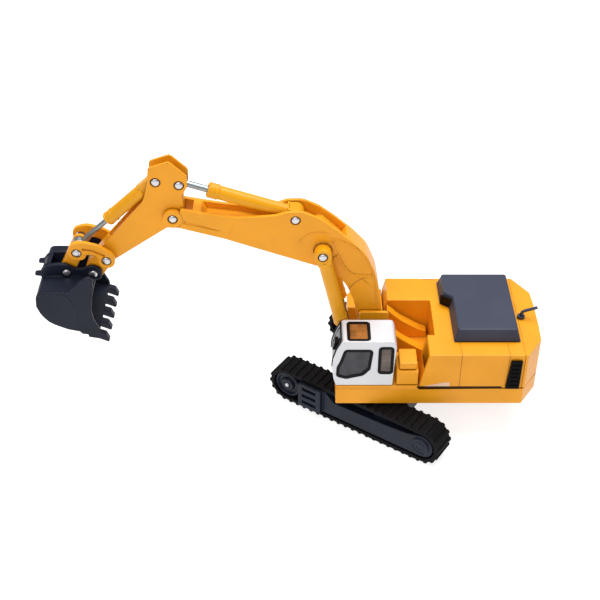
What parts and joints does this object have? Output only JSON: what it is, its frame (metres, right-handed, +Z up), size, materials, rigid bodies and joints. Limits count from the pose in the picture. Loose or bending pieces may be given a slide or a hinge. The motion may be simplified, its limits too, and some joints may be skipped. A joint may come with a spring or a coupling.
{
  "type": "toy excavator",
  "caption": "Die-cast toy excavator on rubber tracks: turning body with a cab on its left, cranked boom, arm and toothed bucket moved by cylinders.",
  "frame": {"origin": "centre of the whole toy's box, on the ground", "axes": "+X from the bucket to the counterweight, +Y to the machine's right side, +Z up"},
  "size_m": [0.1935, 0.089, 0.1132],
  "materials": {
    "yellow_paint": "satin enamel on a zinc casting",
    "cab_white": "gloss white",
    "navy_plastic": "moulded, satin",
    "hood_grey": "moulded, matt",
    "black_plastic": "moulded, matt",
    "track_rubber": "soft, dull",
    "pin_steel": "bright plated",
    "rod_steel": "bright drawn wire",
    "clear_plastic": "clear moulded plastic"
  },
  "bodies": {
    "undercarriage": {"car_body": "navy_plastic", "track_frame_left": "navy_plastic", "track_frame_right": "navy_plastic", "track_belt_left": "track_rubber", "track_belt_right": "track_rubber", "idler_axle_left": "pin_steel", "idler_axle_right": "pin_steel", "sprocket_axle_left": "pin_steel", "sprocket_axle_right": "pin_steel"},
    "idler_left": {"idler_left": "navy_plastic"},
    "idler_right": {"idler_right": "navy_plastic"},
    "sprocket_left": {"drive_sprocket_left": "navy_plastic"},
    "sprocket_right": {"drive_sprocket_right": "navy_plastic"},
    "upper": {"deck": "yellow_paint", "swing_rivet": "pin_steel", "engine_housing": "yellow_paint", "counterweight": "yellow_paint", "engine_hood": "hood_grey", "exhaust_pipe": "hood_grey", "vent_grille_left": "black_plastic", "vent_grille_right": "black_plastic", "cab_shell": "cab_white", "windshield": "clear_plastic", "door_window": "clear_plastic", "side_window": "clear_plastic", "right_window": "clear_plastic", "roof_window": "clear_plastic", "rear_window": "clear_plastic", "driver_seat": "black_plastic", "control_console": "black_plastic", "side_platform": "yellow_paint", "tool_box": "yellow_paint", "fuel_tank": "yellow_paint", "boom_mount": "yellow_paint", "boom_foot_pin": "pin_steel", "cylinder_foot_pin": "pin_steel"},
    "boom": {"boom": "yellow_paint", "trunnion_pin": "pin_steel", "arm_cylinder_base_pin": "pin_steel", "arm_pivot_pin": "pin_steel"},
    "boom_barrel_left": {"boom_cylinder_barrel_left": "yellow_paint"},
    "boom_barrel_right": {"boom_cylinder_barrel_right": "yellow_paint"},
    "boom_rod_left": {"boom_cylinder_rod_left": "rod_steel"},
    "boom_rod_right": {"boom_cylinder_rod_right": "rod_steel"},
    "arm": {"arm": "yellow_paint", "arm_rod_pin": "pin_steel", "bucket_cylinder_base_pin": "pin_steel", "rocker_pivot_pin": "pin_steel"},
    "arm_barrel": {"arm_cylinder_barrel": "yellow_paint"},
    "arm_rod": {"arm_cylinder_rod": "rod_steel"},
    "rocker": {"rocker_link_left": "yellow_paint", "rocker_link_right": "yellow_paint", "rocker_link_pin": "pin_steel"},
    "tipping_link": {"tipping_link": "yellow_paint"},
    "bucket_barrel": {"bucket_cylinder_barrel": "yellow_paint"},
    "bucket_rod": {"bucket_cylinder_rod": "rod_steel"},
    "bucket": {"bucket": "navy_plastic", "bucket_link_pin": "pin_steel", "bucket_pivot_pin": "pin_steel"}
  },
  "joints": [
    {"name": "swing", "type": "hinge", "parent": "undercarriage", "child": "upper", "pos_m": [0.0398, -0.00056, 0.02], "axis": [0, 0, 1], "continuous": true},
    {"name": "idler_left_spin", "type": "hinge", "parent": "undercarriage", "child": "idler_left", "pos_m": [0.0008, -0.00079, 0.0083], "axis": [0.5592, 0.829, 0], "continuous": true},
    {"name": "sprocket_left_spin", "type": "hinge", "parent": "undercarriage", "child": "sprocket_left", "pos_m": [0.05253, -0.03569, 0.0083], "axis": [0.5592, 0.829, 0], "continuous": true},
    {"name": "idler_right_spin", "type": "hinge", "parent": "undercarriage", "child": "idler_right", "pos_m": [0.02541, 0.03568, 0.0083], "axis": [0.5592, 0.829, 0], "continuous": true},
    {"name": "sprocket_right_spin", "type": "hinge", "parent": "undercarriage", "child": "sprocket_right", "pos_m": [0.07714, 0.00079, 0.0083], "axis": [0.5592, 0.829, 0], "continuous": true},
    {"name": "boom_lift", "type": "hinge", "parent": "upper", "child": "boom", "pos_m": [0.0313, -0.00056, 0.038], "axis": [0, 1, 0], "range_deg": [-22, 10]},
    {"name": "boom_rod_left_tilt", "type": "hinge", "parent": "upper", "child": "boom_rod_left", "pos_m": [0.0236, -0.00856, 0.0276], "axis": [0, 1, 0], "range_deg": [-19.23, 9.02]},
    {"name": "boom_barrel_left_tilt", "type": "hinge", "parent": "boom", "child": "boom_barrel_left", "pos_m": [0.0121, -0.00856, 0.0766], "axis": [0, 1, 0], "range_deg": [-1.98, 3.77]},
    {"name": "boom_rod_right_tilt", "type": "hinge", "parent": "upper", "child": "boom_rod_right", "pos_m": [0.0236, 0.00744, 0.0276], "axis": [0, 1, 0], "range_deg": [-19.23, 9.02]},
    {"name": "boom_barrel_right_tilt", "type": "hinge", "parent": "boom", "child": "boom_barrel_right", "pos_m": [0.0121, 0.00744, 0.0766], "axis": [0, 1, 0], "range_deg": [-1.98, 3.77]},
    {"name": "arm_swing", "type": "hinge", "parent": "boom", "child": "arm", "pos_m": [-0.0429, -0.00056, 0.0903], "axis": [0, 1, 0], "range_deg": [-38, 10]},
    {"name": "arm_barrel_tilt", "type": "hinge", "parent": "boom", "child": "arm_barrel", "pos_m": [0.002, -0.00056, 0.0897], "axis": [0, 1, 0], "range_deg": [-3.73, 1.35]},
    {"name": "arm_rod_tilt", "type": "hinge", "parent": "arm", "child": "arm_rod", "pos_m": [-0.04, -0.00056, 0.1035], "axis": [0, 1, 0], "range_deg": [-9.65, 35.27]},
    {"name": "bucket_curl", "type": "hinge", "parent": "arm", "child": "bucket", "pos_m": [-0.0745, -0.00056, 0.0652], "axis": [0, 1, 0], "range_deg": [-35, 20]},
    {"name": "rocker_tilt", "type": "hinge", "parent": "arm", "child": "rocker", "pos_m": [-0.0687, -0.00056, 0.0726], "axis": [0, 1, 0], "range_deg": [-28.3, 16.38]},
    {"name": "tipping_link_tilt", "type": "hinge", "parent": "rocker", "child": "tipping_link", "pos_m": [-0.0795, -0.00056, 0.0761], "axis": [0, 1, 0], "range_deg": [-11.04, 18.95]},
    {"name": "bucket_barrel_tilt", "type": "hinge", "parent": "arm", "child": "bucket_barrel", "pos_m": [-0.0484, -0.00056, 0.1048], "axis": [0, 1, 0], "range_deg": [-4.4, 2.73]},
    {"name": "bucket_rod_tilt", "type": "hinge", "parent": "rocker", "child": "bucket_rod", "pos_m": [-0.0795, -0.00056, 0.0761], "axis": [0, 1, 0], "range_deg": [-14.16, 24.4]}
  ],
  "couplings": [
    {"joint": "sprocket_left_spin", "follows": "idler_left_spin", "ratio": 1},
    {"joint": "sprocket_right_spin", "follows": "idler_right_spin", "ratio": 1},
    {"joint": "boom_rod_left_tilt", "follows": "boom_lift", "ratio": 0.8515},
    {"joint": "boom_barrel_left_tilt", "follows": "boom_lift", "ratio": -0.1485},
    {"joint": "boom_rod_right_tilt", "follows": "boom_lift", "ratio": 0.8515},
    {"joint": "boom_barrel_right_tilt", "follows": "boom_lift", "ratio": -0.1485},
    {"joint": "arm_barrel_tilt", "follows": "arm_swing", "ratio": 0.0851},
    {"joint": "arm_rod_tilt", "follows": "arm_swing", "ratio": -0.9149},
    {"joint": "rocker_tilt", "follows": "bucket_curl", "ratio": 0.7942},
    {"joint": "tipping_link_tilt", "follows": "bucket_curl", "ratio": -0.5271},
    {"joint": "bucket_barrel_tilt", "follows": "bucket_curl", "ratio": 0.1114},
    {"joint": "bucket_rod_tilt", "follows": "bucket_curl", "ratio": -0.6828}
  ]
}
